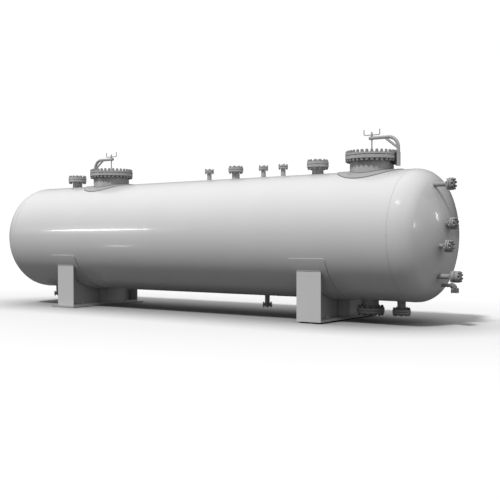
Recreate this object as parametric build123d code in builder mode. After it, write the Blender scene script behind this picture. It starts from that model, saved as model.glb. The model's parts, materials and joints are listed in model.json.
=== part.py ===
from build123d import *
from math import atan2, cos, degrees, radians, sin, sqrt
import os

# Horizontal pressure tank on two saddles, all sizes in millimetres.
# Frame: origin on the floor under the middle of the fixed saddle, +Z up,
# +X along the tank to the head that carries nozzles, -Y to the front.

# Shell and heads
shell_radius = 900
shell_wall = 12
seam_to_seam = 7350
head_wall = 14
head_flange = 25
crown_radius = 1620
knuckle_radius = 306
tank_middle_x = -2440
ground_clearance = 300

# Saddles
saddle_spacing = 4900
saddle_width = 390
saddle_half_angle = 58.3
bearing_plate = 20
base_plate = 25
saddle_plate = 14
end_plate = 16
wear_plate_width = 580
wear_plate_wall = 12
wear_plate_half_angle = 70
wear_plate_corner = 40
bearing_margin = 75
packer_inset = 35
anchor_side_inset = 50
anchor_spacing_y = 1020
anchor_hole_radius = 14
anchor_slot_length = 60

# Manways: inset of each from its seam, and widths measured outward from the neck
manway_insets = {"left": 1535, "right": 681}
manway_neck_radius = 305
manway_neck_wall = 12
manway_standoff = 210
manway_flange_width = 64
manway_flange = 46
manway_cover = 28
manway_face_width = 20
manway_gap = 8
manway_bolt_count = 32
manway_bolt_edge = 24
manway_bolt_hole = 13
pad_width = 175
pad_wall = 12
telltale_radius = 6
telltale_angle = -114

# Cover davit: socket beside the flange, bent pipe arm, brace and lifting screw
davit_gap = 8
davit_pipe_radius = 24
davit_pipe_wall = 5
davit_bend_radius = 150
davit_arm_rise = 252
davit_arm_overhang = 38
socket_wall = 6
socket_length = 185
socket_floor = 10
socket_rise = 32
gusset_wall = 12
gusset_drop = 125
brace_radius = 17
brace_arm_reach = 195
brace_drop = 160
screw_radius = 10
screw_rise = 86
screw_boss_radius = 18
screw_boss_lip = 2
screw_hub_radius = 15
screw_hub_height = 34
lug_radius = 28
lug_height = 52
handle_rise = 45
handle_half_span = 123
handle_upstand = 78
handle_bend_radius = 16
handle_bar_radius = 7

# Nozzles: stand-off of the flange joints from the shell, gap at the rims, weld under each flange
nozzle_standoff = 140
nozzle_gap = 6
neck_weld = 6

# Pipe radius and wall, flange radius and thickness, raised face radius, bolt circle, bolts and holes
large_bottom = dict(pipe=115, wall=12, flange=193, thick=32, face=135, circle=165, bolts=12, hole=13)
large_top = dict(pipe=84, wall=9, flange=159, thick=36, face=108, circle=135, bolts=12, hole=12)
medium_bottom = dict(pipe=58, wall=8, flange=124, thick=25, face=78, circle=100, bolts=8, hole=11)
medium_top = dict(pipe=60, wall=8, flange=117, thick=28, face=78, circle=95, bolts=8, hole=10)
small = dict(pipe=36, wall=11, flange=72, thick=17, face=44, circle=57, bolts=4, hole=8)
gauge = dict(pipe=30, wall=5, flange=81, thick=22, face=46, circle=64, bolts=8, hole=10)
outlet = dict(pipe=33, wall=8, flange=76, thick=46, face=44, circle=60, bolts=8, hole=9)
elbow = dict(pipe=24, wall=5, flange=54, thick=14, face=30, circle=44, bolts=4, hole=7)

# Nozzle places along the tank: insets from the left or right seam, or from the tank's middle
large_top_left_inset = 665
large_top_right_inset = 1565
medium_top_place = 608
small_top_places = [75, 1138, 1501]
large_bottom_right_inset = 698
medium_bottom_right_inset = 223
drain_left_inset = 130
drain_place = 1209

# Head nozzles: across the tank, above its axis, and the joint's reach past the head's pole
gauge_places = [(-165, 666, 88), (-65, 156, 74), (-245, -140, 90)]
outlet_place = (-138, -538, 144)
elbow_place = (87, -664, 34)
elbow_bend_radius = 40
elbow_body_radius = 33
elbow_band_radius = 37
elbow_band = 14
elbow_drop = 68

# Worked-out values
axis_height = ground_clearance + shell_radius
axis_point = (0, 0, axis_height)
shell_axis = Axis(axis_point, (1, 0, 0))
left_seam_x = tank_middle_x - seam_to_seam / 2
right_seam_x = tank_middle_x + seam_to_seam / 2
wear_radius = shell_radius + wear_plate_wall
saddle_floor = bearing_plate + base_plate
saddle_half_length = wear_radius * sin(radians(saddle_half_angle))
anchor_spacing_x = saddle_width - 2 * anchor_side_inset
nozzle_joint = shell_radius + nozzle_standoff
manway_joint = shell_radius + manway_standoff
far = 4 * shell_radius

os.makedirs("parts", exist_ok=True)


def finish(piece, name):
    """Label a finished piece and write it to its own file."""
    piece.part.label = name
    export_step(piece.part, f"parts/{name}.step")


def across_tank(x):
    """Plane square to the tank's axis, centred on it, local x to the back and local y up."""
    return Plane(origin=(x, 0, axis_height), x_dir=(0, 1, 0), z_dir=(1, 0, 0))


def beside(start, direction, out):
    """Plane through a nozzle's axis: local x points out from the axis, local y along it."""
    normal = Vector(*out).cross(Vector(*direction))
    return Plane(origin=start, x_dir=out, z_dir=tuple(normal))


def tank_round(radius, x_from, x_to):
    """Round bar on the tank's axis, used to cut a piece to the tank's curve."""
    with BuildPart() as bar:
        with BuildSketch(across_tank(x_from)):
            Circle(radius)
        extrude(amount=x_to - x_from)
    return bar.part


# Inside and outside of the shell, as cutters that trim necks and pads to its curve
shell_inside = tank_round(shell_radius - shell_wall, left_seam_x, right_seam_x)
shell_outside = tank_round(shell_radius, left_seam_x, right_seam_x)


# Dished end: the knuckle's arc runs into the crown's where their centres line up
knuckle_x = right_seam_x + head_flange
knuckle_centre = (knuckle_x, shell_radius - knuckle_radius)
crown_centre = (knuckle_x - sqrt((crown_radius - knuckle_radius) ** 2 - knuckle_centre[1] ** 2), 0)
crown_half_angle = degrees(atan2(knuckle_centre[1], knuckle_x - crown_centre[0]))
head_pole_x = crown_centre[0] + crown_radius
along_tank = Plane(origin=axis_point, x_dir=(1, 0, 0), z_dir=(0, -1, 0))


def head_outline(wall):
    """Knuckle and crown arcs of the right head, set in from the outside by a wall."""
    knuckle = CenterArc(knuckle_centre, knuckle_radius - wall, 90, crown_half_angle - 90)
    crown = CenterArc(crown_centre, crown_radius - wall, crown_half_angle, -crown_half_angle)
    return knuckle @ 0, crown @ 1


def dished_head():
    """Right-hand dished end of real thickness."""
    with BuildPart() as dish:
        with BuildSketch(along_tank):
            with BuildLine():
                outer_rim, outer_pole = head_outline(0)
                inner_rim, inner_pole = head_outline(head_wall)
                Line(outer_pole, inner_pole)
                Line(outer_rim, (right_seam_x, shell_radius))
                Line((right_seam_x, shell_radius), (right_seam_x, shell_radius - head_wall))
                Line((right_seam_x, shell_radius - head_wall), inner_rim)
            make_face()
        revolve(axis=shell_axis)
    return dish.part


# Inside of the right head, as a cutter that trims its nozzles
with BuildPart() as head_inside:
    with BuildSketch(along_tank):
        with BuildLine():
            trim_rim, trim_pole = head_outline(head_wall)
            Line(trim_pole, (right_seam_x, 0))
            Line((right_seam_x, 0), (right_seam_x, shell_radius - head_wall))
            Line((right_seam_x, shell_radius - head_wall), trim_rim)
        make_face()
    revolve(axis=shell_axis)


# Nozzle places along the tank, by size
large_top_places = [left_seam_x + large_top_left_inset, right_seam_x - large_top_right_inset]
medium_top_places = [tank_middle_x + medium_top_place]
small_top_places = [tank_middle_x + place for place in small_top_places]
large_bottom_places = [right_seam_x - large_bottom_right_inset]
medium_bottom_places = [right_seam_x - medium_bottom_right_inset]
drain_places = [left_seam_x + drain_left_inset, tank_middle_x + drain_place]

# Each group of shell nozzles: its places, direction and size
shell_nozzles = [
    (large_top_places, 1, large_top),
    (medium_top_places, 1, medium_top),
    (small_top_places, 1, small),
    (large_bottom_places, -1, large_bottom),
    (medium_bottom_places, -1, medium_bottom),
    (drain_places, -1, small),
]

# Each nozzle on the right head: its place and size
head_nozzles = [(place, gauge) for place in gauge_places] + [(outlet_place, outlet), (elbow_place, elbow)]

manway_places = {
    "left": left_seam_x + manway_insets["left"],
    "right": right_seam_x - manway_insets["right"],
}

# Shell: rolled plate, bored for the manways and nozzles
with BuildPart() as shell:
    with BuildSketch(across_tank(left_seam_x)):
        Circle(shell_radius)
        Circle(shell_radius - shell_wall, mode=Mode.SUBTRACT)
    extrude(amount=seam_to_seam)
    for x in manway_places.values():
        with BuildSketch(Plane(origin=(x, 0, axis_height))):
            Circle(manway_neck_radius)
        extrude(amount=far, mode=Mode.SUBTRACT)
    for places, way, size in shell_nozzles:
        for x in places:
            with BuildSketch(Plane(origin=(x, 0, axis_height), x_dir=(1, 0, 0), z_dir=(0, 0, way))):
                Circle(size["pipe"])
            extrude(amount=far, mode=Mode.SUBTRACT)
finish(shell, "shell")

# Left head: plain dished end, the right-hand form turned half way round
with BuildPart() as left_head:
    with Locations((2 * tank_middle_x, 0, 0)):
        add(dished_head(), rotation=(0, 0, 180))
finish(left_head, "left_head")

# Right head: dished end bored for its nozzles
with BuildPart() as right_head:
    add(dished_head())
    for (y, z, reach), size in head_nozzles:
        with BuildSketch(Plane(origin=(right_seam_x, y, axis_height + z), x_dir=(0, 1, 0), z_dir=(1, 0, 0))):
            Circle(size["pipe"])
        extrude(amount=far, mode=Mode.SUBTRACT)
finish(right_head, "right_head")


def bolt_holes(size, centre, direction, out, depth):
    """Cutter with a flange's bolt holes, set so that they straddle its centrelines."""
    with BuildPart() as holes:
        with BuildSketch(Plane(origin=centre, x_dir=out, z_dir=direction)):
            with PolarLocations(size["circle"], size["bolts"], start_angle=180 / size["bolts"]):
                Circle(size["hole"])
        extrude(amount=depth)
    return holes.part


def nozzle(size, start, direction, out, length, trim):
    """Pipe and flange in one piece, its inner end trimmed to the inside of the tank."""
    bore = size["pipe"] - size["wall"]
    front = length - nozzle_gap / 2
    back = front - size["thick"]
    weld = size["pipe"] + neck_weld
    with BuildPart() as body:
        with BuildSketch(beside(start, direction, out)):
            with BuildLine():
                Polyline(
                    (bore, 0),
                    (size["pipe"], 0),
                    (size["pipe"], back - neck_weld),
                    (weld, back),
                    (size["flange"], back),
                    (size["flange"], front),
                    (size["face"], front),
                    (size["face"], length),
                    (bore, length),
                    close=True,
                )
            make_face()
        revolve(axis=Axis(start, direction))
        add(trim, mode=Mode.SUBTRACT)
        flange_back = tuple(Vector(*start) + Vector(*direction) * back)
        add(bolt_holes(size, flange_back, direction, out, size["thick"]), mode=Mode.SUBTRACT)
    return body.part


def blind(size, centre, direction, out):
    """Blind flange with a raised face that seats on the nozzle's."""
    back = nozzle_gap / 2
    with BuildPart() as cover:
        with BuildSketch(beside(centre, direction, out)):
            with BuildLine():
                Polyline(
                    (0, 0),
                    (size["face"], 0),
                    (size["face"], back),
                    (size["flange"], back),
                    (size["flange"], back + size["thick"]),
                    (0, back + size["thick"]),
                    close=True,
                )
            make_face()
        revolve(axis=Axis(centre, direction))
        rim_back = tuple(Vector(*centre) + Vector(*direction) * back)
        add(bolt_holes(size, rim_back, direction, out, size["thick"]), mode=Mode.SUBTRACT)
    return cover.part


def shell_nozzle(x, way, size):
    """Nozzle that stands square on the shell, up or down."""
    return nozzle(size, (x, 0, axis_height), (0, 0, way), (1, 0, 0), nozzle_joint, shell_inside)


def shell_blind(x, way, size):
    """Blind flange on a shell nozzle."""
    return blind(size, (x, 0, axis_height + way * nozzle_joint), (0, 0, way), (1, 0, 0))


def head_nozzle(place, size):
    """Nozzle that stands out of the right head along the tank."""
    y, z, reach = place
    start = (right_seam_x, y, axis_height + z)
    length = head_pole_x + reach - right_seam_x
    return nozzle(size, start, (1, 0, 0), (0, 1, 0), length, head_inside.part)


def head_blind(place, size):
    """Blind flange on a head nozzle."""
    y, z, reach = place
    return blind(size, (head_pole_x + reach, y, axis_height + z), (1, 0, 0), (0, 1, 0))


# Shell nozzles and their blind flanges, by size
with BuildPart() as large_top_nozzles:
    for x in large_top_places:
        add(shell_nozzle(x, 1, large_top))
finish(large_top_nozzles, "large_top_nozzles")

with BuildPart() as large_top_blinds:
    for x in large_top_places:
        add(shell_blind(x, 1, large_top))
finish(large_top_blinds, "large_top_blinds")

with BuildPart() as medium_top_nozzle:
    for x in medium_top_places:
        add(shell_nozzle(x, 1, medium_top))
finish(medium_top_nozzle, "medium_top_nozzle")

with BuildPart() as medium_top_blind:
    for x in medium_top_places:
        add(shell_blind(x, 1, medium_top))
finish(medium_top_blind, "medium_top_blind")

with BuildPart() as small_top_nozzles:
    for x in small_top_places:
        add(shell_nozzle(x, 1, small))
finish(small_top_nozzles, "small_top_nozzles")

with BuildPart() as small_top_blinds:
    for x in small_top_places:
        add(shell_blind(x, 1, small))
finish(small_top_blinds, "small_top_blinds")

with BuildPart() as bottom_nozzles:
    for x in large_bottom_places:
        add(shell_nozzle(x, -1, large_bottom))
    for x in medium_bottom_places:
        add(shell_nozzle(x, -1, medium_bottom))
finish(bottom_nozzles, "bottom_nozzles")

with BuildPart() as bottom_blinds:
    for x in large_bottom_places:
        add(shell_blind(x, -1, large_bottom))
    for x in medium_bottom_places:
        add(shell_blind(x, -1, medium_bottom))
finish(bottom_blinds, "bottom_blinds")

with BuildPart() as drain_nozzles:
    for x in drain_places:
        add(shell_nozzle(x, -1, small))
finish(drain_nozzles, "drain_nozzles")

with BuildPart() as drain_blinds:
    for x in drain_places:
        add(shell_blind(x, -1, small))
finish(drain_blinds, "drain_blinds")

# Head nozzles and their blind flanges
with BuildPart() as gauge_nozzles:
    for place in gauge_places:
        add(head_nozzle(place, gauge))
finish(gauge_nozzles, "gauge_nozzles")

with BuildPart() as gauge_blinds:
    for place in gauge_places:
        add(head_blind(place, gauge))
finish(gauge_blinds, "gauge_blinds")

with BuildPart() as outlet_nozzle:
    add(head_nozzle(outlet_place, outlet))
finish(outlet_nozzle, "outlet_nozzle")

with BuildPart() as outlet_blind:
    add(head_blind(outlet_place, outlet))
finish(outlet_blind, "outlet_blind")

# Elbow drain: pipe out of the head, forged elbow, then a flange that faces the floor
elbow_y, elbow_z, elbow_reach = elbow_place
elbow_x = head_pole_x + elbow_reach
elbow_level = axis_height + elbow_z
bend_start_x = elbow_x - elbow_bend_radius
bend_end = (elbow_x, elbow_y, elbow_level - elbow_bend_radius)
pipe_start = Plane(origin=(right_seam_x, elbow_y, elbow_level), x_dir=(0, 1, 0), z_dir=(1, 0, 0))
bend_start = Plane(origin=(bend_start_x, elbow_y, elbow_level), x_dir=(0, 1, 0), z_dir=(1, 0, 0))
bend_axis = Axis((bend_start_x, elbow_y, bend_end[2]), (0, 1, 0))
with BuildPart() as elbow_nozzle:
    with BuildSketch(pipe_start):
        Circle(elbow["pipe"])
    extrude(amount=bend_start_x - right_seam_x)
    with BuildSketch(bend_start):
        Circle(elbow_band_radius)
    extrude(amount=-elbow_band)
    with BuildSketch(bend_start):
        Circle(elbow_body_radius)
    revolve(axis=bend_axis, revolution_arc=90)
    stub = elbow_drop - elbow_bend_radius
    add(nozzle(elbow, bend_end, (0, 0, -1), (1, 0, 0), stub, head_inside.part))
    with BuildSketch(pipe_start):
        Circle(elbow["pipe"] - elbow["wall"])
    extrude(amount=bend_start_x - right_seam_x, mode=Mode.SUBTRACT)
    with BuildSketch(bend_start):
        Circle(elbow["pipe"] - elbow["wall"])
    revolve(axis=bend_axis, revolution_arc=90, mode=Mode.SUBTRACT)
    add(head_inside.part, mode=Mode.SUBTRACT)
finish(elbow_nozzle, "elbow_nozzle")

with BuildPart() as elbow_blind:
    add(blind(elbow, (elbow_x, elbow_y, elbow_level - elbow_drop), (0, 0, -1), (1, 0, 0)))
finish(elbow_blind, "elbow_blind")


def manway(side, x):
    """One manway's pad, neck, flange and cover, set into the shell."""
    bore = manway_neck_radius - manway_neck_wall
    rim = manway_neck_radius + manway_flange_width
    face = manway_neck_radius + manway_face_width
    flange_top = manway_joint - manway_gap / 2
    flange_back = flange_top - manway_flange
    cover_back = manway_joint + manway_gap / 2
    up_from_axis = Plane(origin=(x, 0, axis_height))
    upright = beside((x, 0, axis_height), (0, 0, 1), (1, 0, 0))
    manway_axis = Axis((x, 0, axis_height), (0, 0, 1))
    bolting = dict(circle=rim - manway_bolt_edge, bolts=manway_bolt_count, hole=manway_bolt_hole)

    # Round plate rolled to the shell's curve, bored for the neck, with a tell-tale hole
    pad_radius = manway_neck_radius + pad_width
    pad_outside = shell_radius + pad_wall
    pad_reach = pad_outside * sin(pad_radius / pad_outside)
    telltale_reach = manway_neck_radius + pad_width / 2
    with BuildPart() as pad:
        add(tank_round(pad_outside, x - pad_radius, x + pad_radius))
        add(shell_outside, mode=Mode.SUBTRACT)
        with BuildSketch(up_from_axis):
            Ellipse(pad_radius, pad_reach)
            Circle(manway_neck_radius, mode=Mode.SUBTRACT)
            with PolarLocations(telltale_reach, 1, start_angle=telltale_angle):
                Circle(telltale_radius, mode=Mode.SUBTRACT)
        extrude(amount=far, mode=Mode.INTERSECT)
    finish(pad, f"{side}_manway_pad")

    # Rolled neck, its lower edge trimmed to the inside of the shell
    with BuildPart() as neck:
        with BuildSketch(up_from_axis):
            Circle(manway_neck_radius)
            Circle(bore, mode=Mode.SUBTRACT)
        extrude(amount=flange_back)
        add(shell_inside, mode=Mode.SUBTRACT)
    finish(neck, f"{side}_manway_neck")

    # Ring flange on top of the neck
    with BuildPart() as flange:
        with BuildSketch(upright):
            with BuildLine():
                Polyline(
                    (bore, flange_back),
                    (rim, flange_back),
                    (rim, flange_top),
                    (face, flange_top),
                    (face, manway_joint),
                    (bore, manway_joint),
                    close=True,
                )
            make_face()
        revolve(axis=manway_axis)
        hole_start = (x, 0, axis_height + flange_back)
        add(bolt_holes(bolting, hole_start, (0, 0, 1), (1, 0, 0), manway_flange), mode=Mode.SUBTRACT)
    finish(flange, f"{side}_manway_flange")

    # Flat cover with a raised face
    with BuildPart() as cover:
        with BuildSketch(upright):
            with BuildLine():
                Polyline(
                    (0, manway_joint),
                    (face, manway_joint),
                    (face, cover_back),
                    (rim, cover_back),
                    (rim, cover_back + manway_cover),
                    (0, cover_back + manway_cover),
                    close=True,
                )
            make_face()
        revolve(axis=manway_axis)
        hole_start = (x, 0, axis_height + cover_back)
        add(bolt_holes(bolting, hole_start, (0, 0, 1), (1, 0, 0), manway_cover), mode=Mode.SUBTRACT)
    finish(cover, f"{side}_manway_cover")


def davit(side, x, outward):
    """Cover davit of one manway: bracket, bent arm and lifting screw."""
    rim = manway_neck_radius + manway_flange_width
    post_reach = rim + davit_gap + davit_pipe_radius + socket_wall
    flange_top = manway_joint - manway_gap / 2
    flange_back = flange_top - manway_flange
    cover_top = manway_joint + manway_gap / 2 + manway_cover
    arm_height = manway_joint + davit_arm_rise
    socket_top = manway_joint + socket_rise
    socket_bottom = socket_top - socket_length
    foot = socket_bottom + socket_floor
    post_x = x + outward * post_reach

    # Upright plane through the manway and the davit post: local x outward, local y up
    post_plane = Plane(origin=(x, 0, axis_height), x_dir=(outward, 0, 0), z_dir=(0, -outward, 0))

    # Bracket: socket that the post stands in, on a gusset welded to the neck and the flange's rim
    with BuildPart() as bracket:
        with BuildSketch(post_plane):
            with BuildLine():
                Polyline(
                    (manway_neck_radius, flange_back),
                    (rim, flange_back),
                    (rim, flange_top),
                    (post_reach, flange_top),
                    (post_reach, socket_bottom),
                    (manway_neck_radius, manway_joint - gusset_drop),
                    close=True,
                )
            make_face()
        extrude(amount=gusset_wall / 2, both=True)
        with BuildSketch(Plane(origin=(x, 0, axis_height))):
            Circle(manway_neck_radius)
        extrude(amount=flange_back, mode=Mode.SUBTRACT)
        with BuildSketch(Plane(origin=(x, 0, axis_height + flange_back))):
            Circle(rim)
        extrude(amount=far, mode=Mode.SUBTRACT)
        with BuildSketch(Plane(origin=(post_x, 0, axis_height + socket_bottom))):
            Circle(davit_pipe_radius + socket_wall)
        extrude(amount=socket_length)
        with BuildSketch(Plane(origin=(post_x, 0, axis_height + foot))):
            Circle(davit_pipe_radius)
        extrude(amount=far, mode=Mode.SUBTRACT)
    finish(bracket, f"{side}_davit_bracket")

    # Davit: bent pipe closed at both ends, a brace in the bend and a boss for the screw
    bend_top = (post_reach - davit_bend_radius, arm_height)
    bend_foot = (post_reach, arm_height - davit_bend_radius)
    brace_foot_height = arm_height - brace_drop
    brace_way = Vector(outward * (brace_arm_reach - post_reach), 0, brace_drop)
    brace_foot = (post_x, 0, axis_height + brace_foot_height)
    inner_foot = foot + davit_pipe_wall
    boss_height = davit_pipe_radius + screw_boss_lip
    with BuildPart() as arm:
        with BuildSketch(Plane(origin=(post_x, 0, axis_height + foot))):
            Circle(davit_pipe_radius)
        with BuildLine(post_plane):
            Line((post_reach, foot), bend_foot)
            CenterArc((bend_top[0], bend_foot[1]), davit_bend_radius, 0, 90)
            Line(bend_top, (-davit_arm_overhang, arm_height))
        sweep()
        with BuildSketch(Plane(origin=brace_foot, z_dir=tuple(brace_way))):
            Circle(brace_radius)
        extrude(amount=brace_way.length)
        with BuildSketch(Plane(origin=(post_x, 0, axis_height + inner_foot))):
            Circle(davit_pipe_radius - davit_pipe_wall)
        with BuildLine(post_plane):
            Line((post_reach, inner_foot), bend_foot)
            CenterArc((bend_top[0], bend_foot[1]), davit_bend_radius, 0, 90)
            Line(bend_top, (davit_pipe_wall - davit_arm_overhang, arm_height))
        sweep(mode=Mode.SUBTRACT)
        with BuildSketch(Plane(origin=(x, 0, axis_height + arm_height))):
            Circle(screw_boss_radius)
        extrude(amount=boss_height, both=True)
        with BuildSketch(Plane(origin=(x, 0, axis_height + cover_top))):
            Circle(screw_radius)
        extrude(amount=far, mode=Mode.SUBTRACT)
    finish(arm, f"{side}_davit")

    # Lifting screw: lug on the cover, screw through the arm, hub and bar with upturned ends
    hub_foot = arm_height + boss_height
    bar_height = arm_height + handle_rise
    bar_plane = Plane(origin=(x, 0, axis_height), x_dir=(1, 0, 0), z_dir=(0, -1, 0))
    bar_end = (handle_half_span, bar_height + handle_upstand)
    with BuildPart() as screw:
        with BuildSketch(post_plane):
            with BuildLine():
                Polyline(
                    (0, cover_top),
                    (lug_radius, cover_top),
                    (screw_radius, cover_top + lug_height),
                    (screw_radius, hub_foot),
                    (screw_hub_radius, hub_foot),
                    (screw_hub_radius, hub_foot + screw_hub_height),
                    (screw_radius, hub_foot + screw_hub_height),
                    (screw_radius, arm_height + screw_rise),
                    (0, arm_height + screw_rise),
                    close=True,
                )
            make_face()
        revolve(axis=Axis((x, 0, axis_height), (0, 0, 1)))
        with BuildSketch(Plane(origin=bar_plane.from_local_coords(bar_end))):
            Circle(handle_bar_radius)
        with BuildLine(bar_plane):
            FilletPolyline(
                bar_end,
                (handle_half_span, bar_height),
                (-handle_half_span, bar_height),
                (-handle_half_span, bar_height + handle_upstand),
                radius=handle_bend_radius,
            )
        sweep()
    finish(screw, f"{side}_lifting_screw")


manway("left", manway_places["left"])
manway("right", manway_places["right"])
davit("left", manway_places["left"], -1)
davit("right", manway_places["right"], 1)


def anchor_places(x):
    """Centres of one saddle's four anchor holes on the floor."""
    return [
        (x + sx * anchor_spacing_x / 2, sy * anchor_spacing_y / 2, 0)
        for sx in (-1, 1)
        for sy in (-1, 1)
    ]


def anchor_cut(x, slotted):
    """Anchor holes through the base, slotted along the tank where the saddle slides."""
    with BuildPart() as cut:
        with BuildSketch(Plane.XY):
            with Locations(*anchor_places(x)):
                if slotted:
                    SlotOverall(anchor_slot_length, 2 * anchor_hole_radius)
                else:
                    Circle(anchor_hole_radius)
        extrude(amount=saddle_floor)
    return cut.part


def saddle(kind, x, slotted):
    """One saddle: bearing plate, base plate, web, ribs, end plates and wear plate."""
    cradle = tank_round(wear_radius, x - wear_plate_width, x + wear_plate_width)
    floor = Plane(origin=(x, 0, saddle_floor))
    saddle_length = 2 * saddle_half_length

    # Slide plate stands out past the base, packer stays inside it
    margin = bearing_margin if slotted else -packer_inset
    with BuildPart() as bearing:
        with BuildSketch(Plane(origin=(x, 0, 0))):
            Rectangle(saddle_width + 2 * margin, saddle_length + 2 * margin)
        extrude(amount=bearing_plate)
        add(anchor_cut(x, False), mode=Mode.SUBTRACT)
    finish(bearing, f"{kind}_saddle_bearing_plate")

    with BuildPart() as base:
        with BuildSketch(Plane(origin=(x, 0, bearing_plate))):
            Rectangle(saddle_width, saddle_length)
        extrude(amount=base_plate)
        add(anchor_cut(x, slotted), mode=Mode.SUBTRACT)
    finish(base, f"{kind}_saddle_base_plate")

    with BuildPart() as web:
        with BuildSketch(floor):
            Rectangle(saddle_plate, saddle_length - 2 * end_plate)
        extrude(amount=axis_height - saddle_floor)
        add(cradle, mode=Mode.SUBTRACT)
    finish(web, f"{kind}_saddle_web")

    with BuildPart() as ribs:
        with BuildSketch(floor):
            for side in (-1, 1):
                with Locations((side * (saddle_width + saddle_plate) / 4, 0)):
                    Rectangle((saddle_width - saddle_plate) / 2, saddle_plate)
        extrude(amount=axis_height - saddle_floor)
        add(cradle, mode=Mode.SUBTRACT)
    finish(ribs, f"{kind}_saddle_ribs")

    with BuildPart() as ends:
        with BuildSketch(floor):
            for side in (-1, 1):
                with Locations((0, side * (saddle_half_length - end_plate / 2))):
                    Rectangle(saddle_width, end_plate)
        extrude(amount=axis_height - saddle_floor - wear_radius * cos(radians(saddle_half_angle)))
        add(cradle, mode=Mode.SUBTRACT)
    finish(ends, f"{kind}_saddle_end_plates")

    # Plate rolled to the shell's underside, its four corners rounded
    low = -90 - wear_plate_half_angle
    turn = 2 * wear_plate_half_angle
    top = axis_height - shell_radius * cos(radians(wear_plate_half_angle))
    with BuildPart() as wear:
        with BuildSketch(across_tank(x)):
            with BuildLine():
                outer = CenterArc((0, 0), wear_radius, low, turn)
                inner = CenterArc((0, 0), shell_radius, low, turn)
                Line(outer @ 0, inner @ 0)
                Line(outer @ 1, inner @ 1)
            make_face()
        extrude(amount=wear_plate_width / 2, both=True)
        with BuildSketch(Plane(origin=(x, 0, 0), x_dir=(1, 0, 0), z_dir=(0, -1, 0))) as front:
            with Locations((0, top / 2)):
                Rectangle(wear_plate_width, top)
            fillet(front.vertices().group_by(Axis.Z)[-1], radius=wear_plate_corner)
        extrude(amount=far, both=True, mode=Mode.INTERSECT)
    finish(wear, f"{kind}_saddle_wear_plate")


saddle("fixed", 0, False)
saddle("sliding", -saddle_spacing, True)
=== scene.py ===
import bpy
import json
import math
import random
from fnmatch import fnmatch
from mathutils import Matrix, Quaternion, Vector


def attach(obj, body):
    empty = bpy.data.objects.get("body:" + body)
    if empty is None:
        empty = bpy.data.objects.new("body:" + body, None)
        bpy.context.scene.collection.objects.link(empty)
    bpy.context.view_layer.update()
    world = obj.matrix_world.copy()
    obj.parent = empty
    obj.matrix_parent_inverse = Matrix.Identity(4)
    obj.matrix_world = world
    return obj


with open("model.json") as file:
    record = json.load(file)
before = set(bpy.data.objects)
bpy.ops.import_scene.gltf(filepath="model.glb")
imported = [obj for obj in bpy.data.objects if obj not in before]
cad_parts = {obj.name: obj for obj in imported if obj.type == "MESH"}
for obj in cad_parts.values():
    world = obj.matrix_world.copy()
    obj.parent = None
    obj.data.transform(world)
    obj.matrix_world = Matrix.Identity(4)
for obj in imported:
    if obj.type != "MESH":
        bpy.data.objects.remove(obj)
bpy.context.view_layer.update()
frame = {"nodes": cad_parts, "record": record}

# Tank, in metres, in the frame of the model
tank_radius = 0.900
tank_middle_x = -2.440
axis_height = 1.200
half_shell = 3.675

# Dished heads: flange, knuckle and crown, and the pole of the right one
head_flange = 0.025
knuckle_radius = 0.306
crown_radius = 1.620
head_pole_x = 1.708

# Right head: start and inset of its knuckle, centre of its crown, and radius at which the two meet
knuckle_x = tank_middle_x + half_shell + head_flange
knuckle_inset = tank_radius - knuckle_radius
crown_x = knuckle_x - math.sqrt((crown_radius - knuckle_radius) ** 2 - knuckle_inset**2)
crown_edge = crown_radius * knuckle_inset / (crown_radius - knuckle_radius)

# Saddles, with their wear plates on the shell
saddle_places = {"fixed": 0.0, "sliding": -4.900}
saddle_width = 0.390
saddle_length = 1.5519
saddle_plate = 0.014
end_plate = 0.016
bearing_plate = 0.020
base_plate = 0.025
wear_wall = 0.012
wear_width = 0.580
wear_half_angle = math.radians(70)
wear_corner = 0.040

# Anchor bolts: places on the base plates, and sizes
anchor_x = 0.145
anchor_y = 0.510
anchor_stud = 0.012
anchor_stud_top = 0.046
anchor_thread = 0.018
anchor_flats = 0.036
anchor_nut_height = 0.024
washer_radius = 0.030
washer_height = 0.004
washer_sides = 24

# Manways: places along the tank, radii, and heights over the tank's axis
manway_places = {"left": -4.580, "right": 0.554}
manway_neck = 0.305
manway_face = 0.325
manway_pad = 0.480
pad_wall = 0.012
manway_flange_back = 1.060
manway_joint = 1.110
manway_cover_top = 1.142
manway_gap = 0.008
manway_size = dict(circle=0.345, bolts=32, flats=0.039, stud=0.0125)

# Distance from a manway's axis to the near side of its davit's socket
socket_inner = 0.398

# Tell-tale plugs: place round each manway, and radius at each height
telltale_reach = 0.3925
telltale_angle = math.radians(-114)
plug_outline = [(0.0085, -0.001), (0.0085, 0.0025), (0.0050, 0.0030), (0.0045, 0.0008)]
plug_sides = 20

# Nozzle joints: distance from the tank's axis, and gap at the flanges' rims
nozzle_joint = 1.040
nozzle_gap = 0.006

# Pipe radius, flange thickness, bolt circle radius, bolts, nut across flats, stud radius, raised face
large_bottom = dict(pipe=0.115, thick=0.032, circle=0.165, bolts=12, flats=0.036, stud=0.0120, face=0.135)
large_top = dict(pipe=0.084, thick=0.036, circle=0.135, bolts=12, flats=0.034, stud=0.0110, face=0.108)
medium_bottom = dict(pipe=0.058, thick=0.025, circle=0.100, bolts=8, flats=0.030, stud=0.0100, face=0.078)
medium_top = dict(pipe=0.060, thick=0.028, circle=0.095, bolts=8, flats=0.029, stud=0.0095, face=0.078)
small = dict(pipe=0.036, thick=0.017, circle=0.057, bolts=4, flats=0.022, stud=0.0075, face=0.044)
gauge = dict(pipe=0.030, thick=0.022, circle=0.064, bolts=8, flats=0.027, stud=0.0092, face=0.046)
outlet = dict(pipe=0.033, thick=0.046, circle=0.060, bolts=8, flats=0.024, stud=0.0082, face=0.044)
elbow = dict(pipe=0.024, thick=0.014, circle=0.044, bolts=4, flats=0.018, stud=0.0062, face=0.030)

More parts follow.
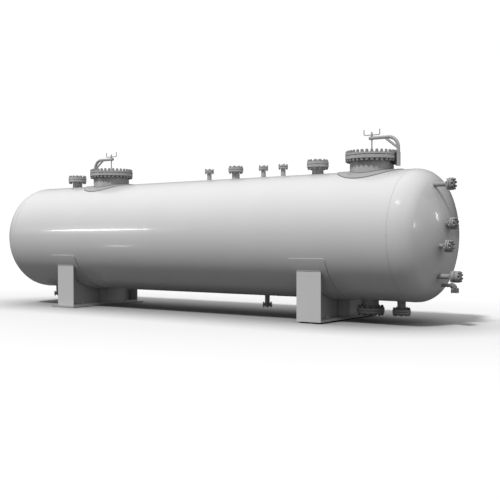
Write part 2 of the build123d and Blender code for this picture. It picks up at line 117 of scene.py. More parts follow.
# Size, direction and places along the tank of the shell's nozzles
shell_nozzles = [
    (large_top, 1, (-5.450, -0.330)),
    (medium_top, 1, (-1.832,)),
    (small, 1, (-2.365, -1.302, -0.939)),
    (large_bottom, -1, (0.537,)),
    (medium_bottom, -1, (1.012,)),
    (small, -1, (-5.985, -1.231)),
]

# Size and place of the right head's nozzles: across, above the axis, joint's reach past the pole
head_nozzles = [
    (gauge, -0.165, 0.666, 0.088),
    (gauge, -0.065, 0.156, 0.074),
    (gauge, -0.245, -0.140, 0.090),
    (outlet, -0.138, -0.538, 0.144),
]
elbow_y = 0.087
elbow_z = -0.664
elbow_reach = 0.034
elbow_drop = 0.068

# Camera, fitted to the photograph
camera_place = (6.1517, -10.4920, 1.1368)
camera_azimuth = math.radians(36.3132)
camera_pitch = math.radians(-0.6538)
camera_roll = math.radians(-0.0668)
camera_lens = 60.6
camera_sensor = 36.0
camera_clip = 1000.0

random.seed(7)


class Nodes:
    """Short way to write a node tree."""

    def __init__(self, tree):
        self.tree = tree

    def feed(self, socket, value):
        """Link a socket to another node's output, or set it to a number, a colour or a vector."""
        if isinstance(value, bpy.types.NodeSocket):
            self.tree.links.new(value, socket)
        else:
            socket.default_value = value

    def add(self, kind, inputs, **settings):
        """Node with its settings made first, then its inputs fed, by name or by place."""
        node = self.tree.nodes.new(kind)
        for key, value in settings.items():
            setattr(node, key, value)
        for key, value in inputs.items():
            self.feed(node.inputs[key], value)
        return node

    def math(self, operation, *sources):
        """Result of an operation on one to three sources."""
        return self.add("ShaderNodeMath", dict(enumerate(sources)), operation=operation).outputs["Value"]

    def coordinate(self, kind):
        """Place or direction of what is shaded."""
        return self.add("ShaderNodeTexCoord", {}).outputs[kind]

    def axis(self, place, letter):
        """One coordinate of a place."""
        return self.add("ShaderNodeSeparateXYZ", {"Vector": place}).outputs[letter]

    def ramp(self, source, low, high, at_low, at_high):
        """Number that goes from one value to another while the source goes from low to high."""
        inputs = {"Value": source, "From Min": low, "From Max": high, "To Min": at_low, "To Max": at_high}
        return self.add("ShaderNodeMapRange", inputs).outputs["Result"]

    def openness(self, distance, samples):
        """Share of the view from a surface that nothing within a distance takes up."""
        return self.add("ShaderNodeAmbientOcclusion", {"Distance": distance}, samples=samples).outputs["AO"]

    def output(self, kind, thrown, seen):
        """End of a tree: what the camera sees, and what is thrown on all else."""
        camera_ray = self.add("ShaderNodeLightPath", {}).outputs["Is Camera Ray"]
        mix = self.add("ShaderNodeMixShader", {"Fac": camera_ray, 1: thrown, 2: seen})
        self.add(kind, {"Surface": mix.outputs["Shader"]})


class Finish(Nodes):
    """Node tree of one material, with its noise in the object's own space."""

    def __init__(self, name):
        self.material = bpy.data.materials.new(name)
        self.material.use_nodes = True
        super().__init__(self.material.node_tree)
        self.shader = self.tree.nodes["Principled BSDF"]
        self.place = self.coordinate("Object")

    def set(self, name, value):
        """Feed one socket of the shader."""
        self.feed(self.shader.inputs[name], value)

    def noise(self, scale, detail, roughness):
        """Cloudy value about 0.5."""
        inputs = {"Scale": scale, "Detail": detail, "Roughness": roughness, "Vector": self.place}
        return self.add("ShaderNodeTexNoise", inputs).outputs["Fac"]

    def mix(self, amount, first, second):
        """Colour that goes from the first to the second as the amount goes from 0 to 1."""
        inputs = {"Factor": amount, "A": first, "B": second}
        return self.add("ShaderNodeMix", inputs, data_type="RGBA").outputs["Result"]

    def rounded(self, radius, samples):
        """Normal with all edges rounded by a radius."""
        return self.add("ShaderNodeBevel", {"Radius": radius}, samples=samples).outputs["Normal"]

    def bump(self, height, strength, distance, **base):
        """Normal roughened by a height, over a base normal where one is given as Normal."""
        inputs = {"Strength": strength, "Distance": distance, "Height": height, **base}
        return self.add("ShaderNodeBump", inputs).outputs["Normal"]


def grey(value):
    """Neutral colour."""
    return (value, value, value, 1.0)


# Sprayed paint: scale, detail and roughness of each noise, the band of it that shows, and what it does
cloud_noise = (1.1, 2.0, 0.5)
cloud_band = (0.35, 0.65)
cloud_shade = 0.975
dust_noise = (150.0, 2.0, 0.5)
dust_band = (0.64, 0.80)
dust_cover = 0.22
dust_shade = 0.90
sheen_noise = (5.0, 3.0, 0.5)
sheen_band = (0.3, 0.7)
sheen_range = (0.92, 1.1)
peel_noise = (260.0, 2.0, 0.4)
peel_strength = 0.03
peel_depth = 0.0004

# Paler edges, a painted highlight where the rounded normal turns from the surface's own, and painted shade
# in corners
edge_samples = 4
edge_highlight_band = (0.99, 0.80)
edge_highlight_cover = 0.35
edge_highlight_lift = 1.35
edge_highlight_limit = 0.9
shade_samples = 6
shade_band = (0.80, 0.30)
shade_cover = 0.75
shade_tone = 0.30

# Clear coat, level over small unevenness
coat_samples = 8
coat_flow = 0.015
coat_rough = 0.08


def paint(name, tone, rough, edge, coat=0.0, shade_reach=0.03, mark=None):
    """Sprayed paint: faint cloud and dust, fine orange peel, painted shade in corners, paler edges as a
    painted highlight.

    Edges are rounded by the radius given as edge. Coat is the weight of the clear coat.
    A mark is a function that paints over the colour where it applies.
    """
    made = Finish(name)
    cloud = made.ramp(made.noise(*cloud_noise), *cloud_band, 0.0, 1.0)
    colour = made.mix(cloud, grey(tone), grey(tone * cloud_shade))
    dust = made.ramp(made.noise(*dust_noise), *dust_band, 0.0, dust_cover)
    colour = made.mix(dust, colour, grey(tone * dust_shade))

    rounded = made.rounded(edge, edge_samples)
    surface = made.add("ShaderNodeNewGeometry", {}).outputs["Normal"]
    alike = made.add("ShaderNodeVectorMath", {0: rounded, 1: surface}, operation="DOT_PRODUCT")
    # Painted highlight: paler where the rounded normal turns from the surface's own
    edge_highlight = made.ramp(alike.outputs["Value"], *edge_highlight_band, 0.0, edge_highlight_cover)
    colour = made.mix(edge_highlight, colour, grey(min(edge_highlight_limit, tone * edge_highlight_lift)))
    # Painted shade: darker where the surface is hemmed in close by, in corners and under parts
    corner_shade = made.ramp(made.openness(shade_reach, shade_samples), *shade_band, 0.0, shade_cover)
    colour = made.mix(corner_shade, colour, grey(tone * shade_tone))
    if mark:
        colour = mark(made, colour)
    made.set("Base Color", colour)

    dull, duller = sheen_range
    made.set("Roughness", made.ramp(made.noise(*sheen_noise), *sheen_band, rough * dull, rough * duller))
    made.set("Normal", made.bump(made.noise(*peel_noise), peel_strength, peel_depth, Normal=rounded))
    made.set("Coat Normal", made.rounded(coat_flow, coat_samples))
    made.set("Coat Weight", coat)
    made.set("Coat Roughness", coat_rough)
    return made.material


# Painted shade on the gussets of the davits' brackets: its tone, and half the width in which it ends
gusset_shade_tone = 0.07
gusset_shade_blend = 0.002


def gusset_painted_shade(made, colour):
    """Painted shade: dark gussets between the manways and the sockets that the davits stand in."""
    sockets = (manway_places["left"] - socket_inner, manway_places["right"] + socket_inner)
    reach = made.math("ABSOLUTE", made.math("SUBTRACT", made.axis(made.place, "X"), sum(sockets) / 2))
    edge = (sockets[1] - sockets[0]) / 2
    past = made.ramp(reach, edge - gusset_shade_blend, edge + gusset_shade_blend, 0.0, 1.0)
    return made.mix(past, grey(gusset_shade_tone), colour)


# Fastener steel
mottle_noise = (160.0, 4.0, 0.6)
mottle_tone_band = (0.35, 0.7)
mottle_rough_band = (0.3, 0.7)
mottle_shade = 0.7
mottle_rough = 1.4
steel_metal = 0.6
scratch_noise = (420.0, 2.0, 0.5)
scratch_strength = 0.2
scratch_depth = 0.0003


def bare_steel(name, tone, rough):
    """Fastener steel with a dull, mottled face."""
    made = Finish(name)
    mottle = made.noise(*mottle_noise)
    patches = made.ramp(mottle, *mottle_tone_band, 0.0, 1.0)
    made.set("Base Color", made.mix(patches, grey(tone), grey(tone * mottle_shade)))
    made.set("Roughness", made.ramp(mottle, *mottle_rough_band, rough, rough * mottle_rough))
    made.set("Metallic", steel_metal)
    made.set("Normal", made.bump(made.noise(*scratch_noise), scratch_strength, scratch_depth))
    return made.material


# Gasket fibre
grain_noise = (300.0, 5.0, 0.7)
grain_shade = 1.6
grain_strength = 0.4
grain_depth = 0.0005
fibre_rough = 0.85


def fibre(name, tone):
    """Compressed fibre gasket, matt and grainy."""
    made = Finish(name)
    grain = made.noise(*grain_noise)
    made.set("Base Color", made.mix(grain, grey(tone), grey(tone * grain_shade)))
    made.set("Roughness", fibre_rough)
    made.set("Normal", made.bump(grain, grain_strength, grain_depth))
    return made.material


tank_paint = paint("tank_paint", tone=0.66, rough=0.30, edge=0.002, coat=0.6)
saddle_paint = paint("saddle_paint", tone=0.60, rough=0.42, edge=0.006)
fitting_paint = paint("fitting_paint", tone=0.45, rough=0.36, edge=0.002, shade_reach=0.05)
# Painted shade: the right head's fittings are a darker copy of the fitting paint
shaded_end_fitting_paint = paint("shaded_end_fitting_paint", tone=0.33, rough=0.38, edge=0.002, shade_reach=0.05)
# Painted shade: the pads are a darker copy of the tank's paint
shaded_pad_paint = paint("shaded_pad_paint", tone=0.39, rough=0.34, edge=0.003)
# Painted shade: the neck's long reach darkens it under its flange
neck_paint = paint("neck_paint", tone=0.52, rough=0.36, edge=0.002, shade_reach=0.17)
# Painted shade: the davit's long reach darkens it next to its manway's flange
davit_paint = paint("davit_paint", tone=0.42, rough=0.34, edge=0.002, shade_reach=0.10)
# Painted shade: the brackets' gussets are dark between the flanges and the davit posts
shaded_bracket_paint = paint("shaded_bracket_paint", tone=0.42, rough=0.36, edge=0.002, mark=gusset_painted_shade)
# Painted shade: the bearing plates, save the sliding one, are near black as a shadow gap
shaded_bearing_paint = paint("shaded_bearing_paint", tone=0.07, rough=0.5, edge=0.003)
sliding_plate_paint = paint("sliding_plate_paint", tone=0.36, rough=0.5, edge=0.003)
weld_paint = paint("weld_paint", tone=0.46, rough=0.40, edge=0.001)
pad_weld_paint = paint("pad_weld_paint", tone=0.24, rough=0.45, edge=0.001)
shell_weld_paint = paint("shell_weld_paint", tone=0.52, rough=0.32, edge=0.001)
nut_paint = paint("nut_paint", tone=0.33, rough=0.40, edge=0.001, shade_reach=0.02)
stud_steel = bare_steel("stud_steel", tone=0.22, rough=0.42)
gasket_fibre = fibre("gasket_fibre", tone=0.03)

# Finish of the tank's nodes: by slot, and by name where the photograph shows another tone; the darker pads,
# head fittings and gussets are painted shade
slot_finish = {
    "tank_paint": tank_paint,
    "saddle_paint": saddle_paint,
    "fitting_paint": fitting_paint,
    "davit_paint": davit_paint,
    "bearing_steel": shaded_bearing_paint,
}
name_finish = {
    "*wear_plate": tank_paint,
    "*manway_pad": shaded_pad_paint,
    "*manway_neck": neck_paint,
    "*davit_bracket": shaded_bracket_paint,
    "sliding_saddle_bearing_plate": sliding_plate_paint,
    "gauge*": shaded_end_fitting_paint,
    "outlet*": shaded_end_fitting_paint,
    "elbow*": shaded_end_fitting_paint,
}
slot_of = {row["node"]: row["material_slot"] for row in frame["record"]["subparts"]}
for name, node in frame["nodes"].items():
    own = [finish for pattern, finish in name_finish.items() if fnmatch(name, pattern)]
    node.data.materials.clear()
    node.data.materials.append(own[0] if own else slot_finish[slot_of[name]])


def mesh_of(name, verts, faces):
    """Mesh from plain lists of points and faces."""
    mesh = bpy.data.meshes.new(name)
    mesh.from_pydata([tuple(v) for v in verts], [], faces)
    mesh.update()
    return mesh


upright = Matrix.Identity(3)
origin = Vector((0.0, 0.0, 0.0))


class Piece:
    """Piece of the scene, gathered from forms. A form is a list of points and a list of faces."""

    def __init__(self, name):
        self.name = name
        self.verts = []
        self.faces = []

    def add(self, form, turn=upright, spot=origin):
        """Add a form, turned and then moved to its spot."""
        verts, faces = form
        start = len(self.verts)
        self.verts += [spot + turn @ v for v in verts]
        self.faces += [tuple(start + k for k in face) for face in faces]

    def link(self, material, slot, smooth=False):
        """Make the object, give it its finish and let it ride on the tank."""
        mesh = mesh_of(self.name, self.verts, self.faces)
        mesh.materials.append(material)
        if smooth:
            mesh.polygons.foreach_set("use_smooth", [True] * len(mesh.polygons))
        piece = bpy.data.objects.new(self.name, mesh)
        bpy.context.scene.collection.objects.link(piece)
        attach(piece, "root")


def ring_points(radius, height, count, turn=0.0):
    """Points round the upright axis."""
    angles = [turn + 2 * math.pi * k / count for k in range(count)]
    return [Vector((radius * math.cos(angle), radius * math.sin(angle), height)) for angle in angles]


def stack(rings, caps=True, closed=False):
    """Form that joins rings of points with the same count, with caps at its ends or closed on itself."""
    count = len(rings[0])
    verts = [point for ring in rings for point in ring]
    total = len(verts)
    faces = []
    for start in range(0, total if closed else total - count, count):
        for k in range(count):
            a = start + k
            b = start + (k + 1) % count
            faces.append((a, b, (b + count) % total, (a + count) % total))
    if caps:
        faces.append(tuple(reversed(range(count))))
        faces.append(tuple(range(total - count, total)))
    return verts, faces


def turned(outline, sides, caps=True):
    """Form turned from an outline of radii and heights, with flats where its sides are few."""
    return stack([ring_points(radius, height, sides) for radius, height in outline], caps)


def frame_along(direction):
    """Rotation that turns +Z to a direction."""
    return Vector(direction).to_track_quat("Z", "Y").to_matrix()


# Nuts: height in widths across flats, chamfer in heights, and corners' shares at the seat and the top
nut_sides = 6
nut_height = 0.85
nut_chamfer = 0.12
nut_seat = 0.92
nut_top = 0.86

# Studs: thread, chamfered tip and end past the nut, all in the stud's radii
stud_sides = 10
thread_pitch = 0.28
thread_root = 0.88
tip_radius = 0.72
tip_length = 0.35
stud_end = 0.55

# Thread drawn inside a nut, as a share of its height
thread_in_nut = 0.2

# Gaskets, and the share of the gap that they fill
gasket_sides = 64
gasket_fill = 0.8

# Raised centres of the blinds: radius and height in bolt circles, and their outline
hub_sides = 40
hub_radius = 0.62
hub_height = 0.30
hub_outline = [
    (1.00, 0.0), (1.00, 0.30), (0.97, 0.42), (0.86, 0.66), (0.66, 0.86), (0.40, 0.97), (0.14, 1.0),
]


def nut_form(flats, height):
    """Hex nut on its seat with chamfered corners."""
    corner = flats / math.sqrt(3)
    low = height * nut_chamfer
    outline = [(corner * nut_seat, 0.0), (corner, low), (corner, height - low), (corner * nut_top, height)]
    return turned(outline, nut_sides)


def stud_form(radius, low, high, thread):
    """Stud from end to end of a joint, threaded at both ends, with chamfered tips."""
    pitch = radius * thread_pitch
    end = [(radius * tip_radius, 0.0), (radius, radius * tip_length)]
    while end[-1][1] + pitch < thread:
        start = end[-1][1]
        end += [(radius * thread_root, start + pitch / 2), (radius, start + pitch)]
    outline = [(size, low + reach) for size, reach in end]
    outline += [(size, high - reach) for size, reach in reversed(end)]
    return turned(outline, stud_sides)


def bolt_circle(nuts, studs, centre, direction, size, low, high):
    """Studs and nuts round one flange joint, from its back face to its cover's face."""
    way = Vector(direction)
    out = frame_along(way)
    back = frame_along(-way)
    height = size["flats"] * nut_height
    end = size["stud"] * stud_end
    nut = nut_form(size["flats"], height)
    stud = stud_form(size["stud"], low - height - end, high + height + end, end + height * thread_in_nut)
    for place in ring_points(size["circle"], 0.0, size["bolts"], math.pi / size["bolts"]):
        spot = Vector(centre) + out @ place
        spin = Matrix.Rotation(random.uniform(0, math.pi / 3), 3, "Z")
        nuts.add(nut, out @ spin, spot + way * high)
        nuts.add(nut, back @ spin, spot + way * low)
        studs.add(stud, out, spot)


def gasket(size, inner, gap):
    """Ring between two flange faces, out to the studs, seen in the gap at the rims."""
    outer = size["circle"] - size["stud"]
    half = gap * gasket_fill / 2
    outline = [(inner, -half), (outer, -half), (outer, half), (inner, half), (inner, -half)]
    return turned(outline, gasket_sides, caps=False)


def hub_form(circle):
    """Low dome on a round foot, the raised centre of a blind."""
    radius = circle * hub_radius
    height = circle * hub_height
    return turned([(radius * out, height * up) for out, up in hub_outline], hub_sides)


nozzle_nuts = Piece("nozzle_nuts")
nozzle_studs = Piece("nozzle_studs")
nozzle_gaskets = Piece("nozzle_gaskets")
blind_hubs = Piece("blind_hubs")


def dress_joint(centre, direction, size):
    """Bolts, gasket and raised centre of one nozzle's flange joint."""
    reach = nozzle_gap / 2 + size["thick"]
    turn = frame_along(direction)
    bolt_circle(nozzle_nuts, nozzle_studs, centre, direction, size, -reach, reach)
    nozzle_gaskets.add(gasket(size, size["face"], nozzle_gap), turn, Vector(centre))
    blind_hubs.add(hub_form(size["circle"]), turn, Vector(centre) + Vector(direction) * reach)


for size, way, places in shell_nozzles:
    for place in places:
        dress_joint((place, 0.0, axis_height + way * nozzle_joint), (0, 0, way), size)
for size, y, z, reach in head_nozzles:
    dress_joint((head_pole_x + reach, y, axis_height + z), (1, 0, 0), size)
dress_joint((head_pole_x + elbow_reach, elbow_y, axis_height + elbow_z - elbow_drop), (0, 0, -1), elbow)
nozzle_nuts.link(nut_paint, "fitting_paint")
nozzle_studs.link(stud_steel, "fitting_paint")
nozzle_gaskets.link(gasket_fibre, "fitting_paint")
blind_hubs.link(nut_paint, "fitting_paint")


def dress_manway(side, x):
    """Bolts and gasket of one manway's cover."""
    nuts = Piece(side + "_manway_nuts")
    studs = Piece(side + "_manway_studs")
    seal = Piece(side + "_manway_gasket")
    centre = (x, 0.0, axis_height)
    bolt_circle(nuts, studs, centre, (0, 0, 1), manway_size, manway_flange_back, manway_cover_top)
    joint = Vector((x, 0.0, axis_height + manway_joint))
    seal.add(gasket(manway_size, manway_face, manway_gap), frame_along((0, 0, 1)), joint)
    nuts.link(nut_paint, "fitting_paint")
    studs.link(stud_steel, "fitting_paint")
    seal.link(gasket_fibre, "fitting_paint")


def rise(radius, y):
    """Height over the tank's axis of a round surface about it, at a place across the tank."""
    return math.sqrt(radius**2 - y**2)


def telltale_plugs():
    """Small plug in the tell-tale hole of each manway's pad."""
    plugs = Piece("telltale_plugs")
    for x in manway_places.values():
        y = telltale_reach * math.sin(telltale_angle)
        z = rise(tank_radius + pad_wall, y)
        seat = Vector((x + telltale_reach * math.cos(telltale_angle), y, axis_height + z))
        plugs.add(turned(plug_outline, plug_sides), frame_along((0.0, y, z)), seat)
    plugs.link(stud_steel, "fitting_paint")


def anchor_bolts(kind, x):
    """Anchor bolts of one saddle, with nuts and washers on its base plate."""
    bolts = Piece(kind + "_anchor_bolts")
    washer = turned([(washer_radius, 0.0), (washer_radius, washer_height)], washer_sides)
    nut = nut_form(anchor_flats, anchor_nut_height)
    top = bearing_plate + base_plate
    shank = stud_form(anchor_stud, -top, anchor_stud_top, anchor_thread)
    for side_x in (-1, 1):
        for side_y in (-1, 1):
            spot = Vector((x + side_x * anchor_x, side_y * anchor_y, top))
            bolts.add(washer, upright, spot)
            bolts.add(nut, upright, spot + Vector((0, 0, washer_height)))
            bolts.add(shank, upright, spot)
    bolts.link(saddle_paint, "saddle_paint")


for side, x in manway_places.items():
    dress_manway(side, x)
telltale_plugs()
for kind, x in saddle_places.items():
    anchor_bolts(kind, x)

# Weld beads: unevenness, and radius of each kind
bead_sides = 8
bead_range = (0.90, 1.08)
seam_bead = 0.006
pad_bead = 0.007
neck_bead = 0.008
nozzle_bead = 0.006
head_nozzle_bead = 0.005
saddle_bead = 0.006
foot_bead = 0.005

# Weld paths: how far seams are sunk and plates' toes stand off the shell, steps, and points on each
seam_sink = 0.004
toe_height = 0.002
straight_step = 0.02
nozzle_step = 0.015
nozzle_points = 24
seam_points = 260
rim_points = 96
pad_points = 200
cradle_steps = 90
wear_side_steps = 100
wear_corner_steps = 8
wear_end_steps = 25


def bead(path, radius, closed=True):
    """Weld bead: a lumpy tube along a path, half sunk in the plates that it joins."""
    count = len(path)
    rings = []
    for k, point in enumerate(path):
        ahead = path[(k + 1) % count] if closed else path[min(k + 1, count - 1)]
        behind = path[k - 1] if closed or k else path[0]
        turn = frame_along(ahead - behind)
        size = radius * random.uniform(*bead_range)
        rings.append([point + turn @ v for v in ring_points(size, 0.0, bead_sides)])
    return stack(rings, caps=not closed, closed=closed)


def straight(start, end):
    """Points along a line."""
    start, end = Vector(start), Vector(end)
    count = max(2, int((end - start).length / straight_step))
    return [start.lerp(end, k / count) for k in range(count + 1)]


def round_tank(x, radius, angles):
    """Points round the tank's axis at one place along it."""
    return [Vector((x, radius * math.cos(a), axis_height + radius * math.sin(a))) for a in angles]


def round_nozzle(x, radius, surface, way):
    """Points where an upright pipe meets a round surface about the tank's axis."""
    count = max(nozzle_points, int(2 * math.pi * radius / nozzle_step))
    ring = ring_points(radius, 0.0, count)
    return [Vector((x + v.x, v.y, axis_height + way * rise(surface, v.y))) for v in ring]


def pad_edge(x):
    """Points along the edge of a round pad that is rolled to the shell's curve."""
    outside = tank_radius + pad_wall
    half_width = outside * math.sin(manway_pad / outside)
    points = []
    for k in range(pad_points):
        angle = 2 * math.pi * k / pad_points
        y = half_width * math.sin(angle)
        z = axis_height + rise(tank_radius + toe_height, y)
        points.append(Vector((x + manway_pad * math.cos(angle), y, z)))
    return points


def head_x(y, z):
    """Where the right head's outside lies, at a place across the tank."""
    reach = math.hypot(y, z)
    if reach < crown_edge:
        return crown_x + math.sqrt(crown_radius**2 - reach**2)
    return knuckle_x + math.sqrt(knuckle_radius**2 - (reach - knuckle_inset) ** 2)


def round_head_nozzle(y, z, radius):
    """Points where a pipe along the tank meets the right head."""
    across = [(y + v.x, z + v.y) for v in ring_points(radius, 0.0, nozzle_points)]
    return [Vector((head_x(py, pz), py, axis_height + pz)) for py, pz in across]


def wear_plate_edge(x):
    """Points along the edge of a wear plate, with its four corners rounded."""
    radius = tank_radius + toe_height
    half_width = wear_width / 2
    inner = half_width - wear_corner
    corner_turn = wear_corner / radius
    side_turn = wear_half_angle - corner_turn
    turns = [math.pi / 2 * k / wear_corner_steps for k in range(1, wear_corner_steps)]

    # Place along the tank and angle round it, for one side, a corner, one end and the next corner
    half = [(half_width, side_turn * (2 * k / wear_side_steps - 1)) for k in range(wear_side_steps + 1)]
    corner = [(inner + wear_corner * math.cos(a), side_turn + corner_turn * math.sin(a)) for a in turns]
    half += corner
    half += [(inner - 2 * inner * k / wear_end_steps, wear_half_angle) for k in range(wear_end_steps + 1)]
    half += [(-along, angle) for along, angle in reversed(corner)]
    return [
        Vector((x + side * along, side * radius * math.sin(angle), axis_height - radius * math.cos(angle)))
        for side in (1, -1)
        for along, angle in half
    ]


def head_seams():
    """Welds between the shell and its heads."""
    seams = Piece("head_seams")
    angles = [2 * math.pi * k / seam_points for k in range(seam_points)]
    for side in (-1, 1):
        x = tank_middle_x + side * half_shell
        seams.add(bead(round_tank(x, tank_radius - seam_sink, angles), seam_bead))
    seams.link(shell_weld_paint, "tank_paint", smooth=True)


def manway_welds():
    """Welds of the pads, and of the necks at both their ends."""
    welds = Piece("manway_welds")
    for x in manway_places.values():
        rim_centre = Vector((x, 0, axis_height + manway_flange_back))
        rim = [rim_centre + v for v in ring_points(manway_neck, 0.0, rim_points)]
        welds.add(bead(pad_edge(x), pad_bead))
        welds.add(bead(round_nozzle(x, manway_neck, tank_radius + pad_wall, 1), neck_bead))
        welds.add(bead(rim, neck_bead))
    welds.link(pad_weld_paint, "fitting_paint", smooth=True)


def nozzle_welds():
    """Welds where the nozzles' pipes meet the shell and the right head."""
    welds = Piece("nozzle_welds")
    for size, way, places in shell_nozzles:
        for place in places:
            welds.add(bead(round_nozzle(place, size["pipe"], tank_radius, way), nozzle_bead))
    pipes = [(size, y, z) for size, y, z, reach in head_nozzles] + [(elbow, elbow_y, elbow_z)]
    for size, y, z in pipes:
        welds.add(bead(round_head_nozzle(y, z, size["pipe"]), head_nozzle_bead))
    welds.link(weld_paint, "fitting_paint", smooth=True)


def saddle_welds(kind, x):
    """Welds of one saddle: its wear plate, and its end plates, web and ribs at top and foot."""
    welds = Piece(kind + "_saddle_welds")
    welds.add(bead(wear_plate_edge(x), saddle_bead))
    floor_z = bearing_plate + base_plate
    cradle = tank_radius + wear_wall
    half_width = saddle_width / 2
    half_length = saddle_length / 2
    half_web = half_length - end_plate
    top_z = axis_height - rise(cradle, half_length)
    reach = math.asin(half_web / cradle)
    angles = [reach * (2 * k / cradle_steps - 1) - math.pi / 2 for k in range(cradle_steps + 1)]

    def line(start, end, radius):
        welds.add(bead(straight(start, end), radius, closed=False))

    for side in (-1, 1):
        y = side * half_length
        line((x - half_width, y, top_z), (x + half_width, y, top_z), saddle_bead)
        inner_y = side * half_web
        web_x = x + side * saddle_plate / 2
        welds.add(bead(round_tank(web_x, cradle, angles), saddle_bead, closed=False))
        line((web_x, -half_web, floor_z), (web_x, half_web, floor_z), saddle_bead)
        line((x - half_width, inner_y, floor_z), (x + half_width, inner_y, floor_z), foot_bead)
        for rib_side in (-1, 1):
            rib_y = rib_side * saddle_plate / 2
            line((web_x, rib_y, floor_z), (x + side * half_width, rib_y, floor_z), foot_bead)
    welds.link(weld_paint, "saddle_paint", smooth=True)


head_seams()
manway_welds()
nozzle_welds()
for kind, x in saddle_places.items():
    saddle_welds(kind, x)

# Floor: pale to the camera, with painted shade that makes it paler far from the tank and darker close under
# it
floor_size = 400.0
floor_oval = 0.62
floor_reach = (2.5, 6.5)
floor_shade_tones = (0.71, 0.82)
floor_thrown_tone = 0.14
contact_shadow_reach = 1.3
contact_shadow_samples = 8
contact_shadow_band = (0.35, 1.0)
contact_shadow_tones = (0.45, 1.0)

# Sky: the backdrop that the camera sees, and the light from all round, from overhead and from the ends
backdrop = 1.02
sky_light = 0.03
overhead_light = 0.65
end_light = 1.8

# Key light, high in front, that throws the shadow behind the tank
key_power = 2.6
key_spread = math.radians(8)
key_direction = Vector((0.01, 0.561, -0.828))

corners = [(x * floor_size, y * floor_size, 0) for x, y in ((-1, -1), (1, -1), (1, 1), (-1, 1))]
floor = bpy.data.objects.new("floor", mesh_of("floor", corners, [(0, 1, 2, 3)]))
bpy.context.scene.collection.objects.link(floor)


def floor_material():
    """Pale floor, with painted shade darker close under the tank, and darker still for the light that it
    throws back.
    """
    material = bpy.data.materials.new("studio_floor")
    material.use_nodes = True
    material.node_tree.nodes.clear()
    made = Nodes(material.node_tree)
    oval = made.add("ShaderNodeMapping", {
        "Vector": made.coordinate("Object"),
        "Location": (-tank_middle_x * floor_oval, 0.0, 0.0),
        "Scale": (floor_oval, 1.0, 1.0),
    })
    reach = made.add("ShaderNodeVectorMath", {0: oval.outputs["Vector"]}, operation="LENGTH")
    # Painted shade: darker nearer the tank
    distance = made.ramp(reach.outputs["Value"], *floor_reach, *floor_shade_tones)
    # Painted contact shadow: darker where the tank hides the sky close by
    contact_shadow = made.ramp(made.openness(contact_shadow_reach, contact_shadow_samples), *contact_shadow_band, *contact_shadow_tones)
    seen = made.add("ShaderNodeBsdfDiffuse", {"Color": made.math("MULTIPLY", distance, contact_shadow)})
    thrown = made.add("ShaderNodeBsdfDiffuse", {"Color": grey(floor_thrown_tone)})
    made.output("ShaderNodeOutputMaterial", thrown.outputs["BSDF"], seen.outputs["BSDF"])
    return material


def studio_sky():
    """White backdrop for the camera, and a dimmer sky, brightest overhead, for the light on the tank."""
    world = bpy.data.worlds.new("studio")
    bpy.context.scene.world = world
    world.use_nodes = True
    world.node_tree.nodes.clear()
    made = Nodes(world.node_tree)
    way = made.coordinate("Generated")
    height = made.math("MAXIMUM", made.axis(way, "Z"), 0.0)
    along = made.axis(way, "X")
    aside = made.math("MULTIPLY", along, along)
    both = made.math("MULTIPLY_ADD", aside, end_light, made.math("MULTIPLY", height, overhead_light))
    strength = made.math("MULTIPLY_ADD", both, height, sky_light)
    seen = made.add("ShaderNodeBackground", {"Color": grey(1.0), "Strength": backdrop})
    thrown = made.add("ShaderNodeBackground", {"Color": grey(1.0), "Strength": strength})
    made.output("ShaderNodeOutputWorld", thrown.outputs["Background"], seen.outputs["Background"])


floor.data.materials.append(floor_material())
studio_sky()


def lamp(name, kind, power, direction):
    """Lamp that shines along a direction and isn't seen itself."""
    light = bpy.data.lights.new(name, kind)
    light.energy = power
    holder = bpy.data.objects.new(name, light)
    bpy.context.scene.collection.objects.link(holder)
    holder.rotation_mode = "QUATERNION"
    holder.rotation_quaternion = direction.to_track_quat("-Z", "Y")
    holder.visible_camera = False
    return holder


key = lamp("key", "SUN", key_power, key_direction)
key.data.angle = key_spread
key.visible_glossy = False


def mirror(spot, normal):
    """A spot of the tank, and the direction in which the camera's line of sight leaves it."""
    return spot, (spot - Vector(camera_place)).normalized().reflect(normal)


def shell_mirror(x, z):
    """Spot and direction at a place along the shell's front, and a height over its axis."""
    normal = Vector((0.0, -rise(tank_radius, z), z)) / tank_radius
    return mirror(Vector((x, 0.0, axis_height)) + normal * tank_radius, normal)


def crown_mirror(y, z):
    """Spot and direction at a place across the right head's crown, and a height over its axis."""
    spot = Vector((head_x(y, z), y, axis_height + z))
    return mirror(spot, (spot - Vector((crown_x, 0.0, axis_height))) / crown_radius)


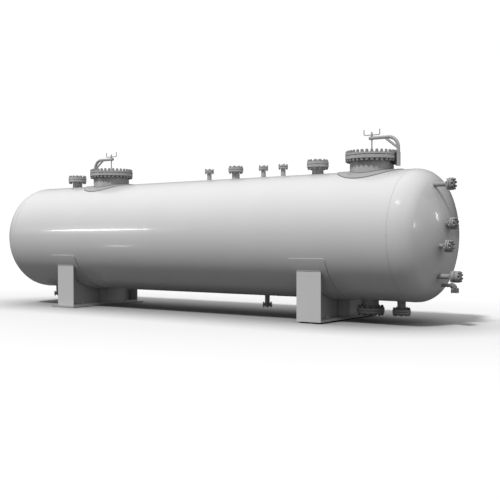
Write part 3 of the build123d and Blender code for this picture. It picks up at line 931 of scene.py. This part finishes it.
def glint(name, spot, direction, reach, size, radiance, tilt=0.0):
    """Small oval lamp, seen only as a reflection at one spot of the tank. Its tilt is in degrees."""
    width, height = size
    holder = lamp(name, "AREA", radiance * math.pi * width * height, -direction)
    holder.data.shape = "ELLIPSE"
    holder.data.size = width
    holder.data.size_y = height
    holder.location = spot + direction.normalized() * reach
    spin = Quaternion((0.0, 0.0, 1.0), math.radians(tilt))
    holder.rotation_quaternion = holder.rotation_quaternion @ spin
    holder.visible_diffuse = False


# Reflections along the shell, on the crown and its edge, and of the key light on the knuckle
knuckle_spot = Vector((1.337, -0.783, 1.621))
glint("shell_glint", *shell_mirror(-3.933, 0.112), reach=6.0, size=(2.40, 0.17), radiance=26.0, tilt=13.0)
glint("low_glint", *shell_mirror(-3.520, -0.150), reach=3.0, size=(0.52, 0.06), radiance=9.0, tilt=-13.0)
glint("crown_glint", *crown_mirror(-0.301, 0.249), reach=5.0, size=(0.34, 0.52), radiance=8.0)
glint("edge_glint", *crown_mirror(-0.718, 0.128), reach=5.0, size=(0.45, 0.60), radiance=8.0)
glint("knuckle_glint", knuckle_spot, -key_direction, reach=5.0, size=(2.0, 0.50), radiance=5.2)

# Camera, turned by its azimuth, pitch and roll
camera = bpy.data.objects.new("camera", bpy.data.cameras.new("camera"))
bpy.context.scene.collection.objects.link(camera)
bpy.context.scene.camera = camera
camera.data.lens = camera_lens
camera.data.sensor_width = camera_sensor
camera.data.clip_end = camera_clip
look = Vector((
    -math.sin(camera_azimuth) * math.cos(camera_pitch),
    math.cos(camera_azimuth) * math.cos(camera_pitch),
    math.sin(camera_pitch),
))
right = Vector((math.cos(camera_azimuth), math.sin(camera_azimuth), 0.0))
up = right.cross(look)
rolled_right = right * math.cos(camera_roll) + up * math.sin(camera_roll)
rolled_up = up * math.cos(camera_roll) - right * math.sin(camera_roll)
turn = Matrix((rolled_right, rolled_up, -look)).transposed()
camera.matrix_world = Matrix.Translation(camera_place) @ turn.to_4x4()

bpy.context.scene.view_settings.view_transform = "Standard"
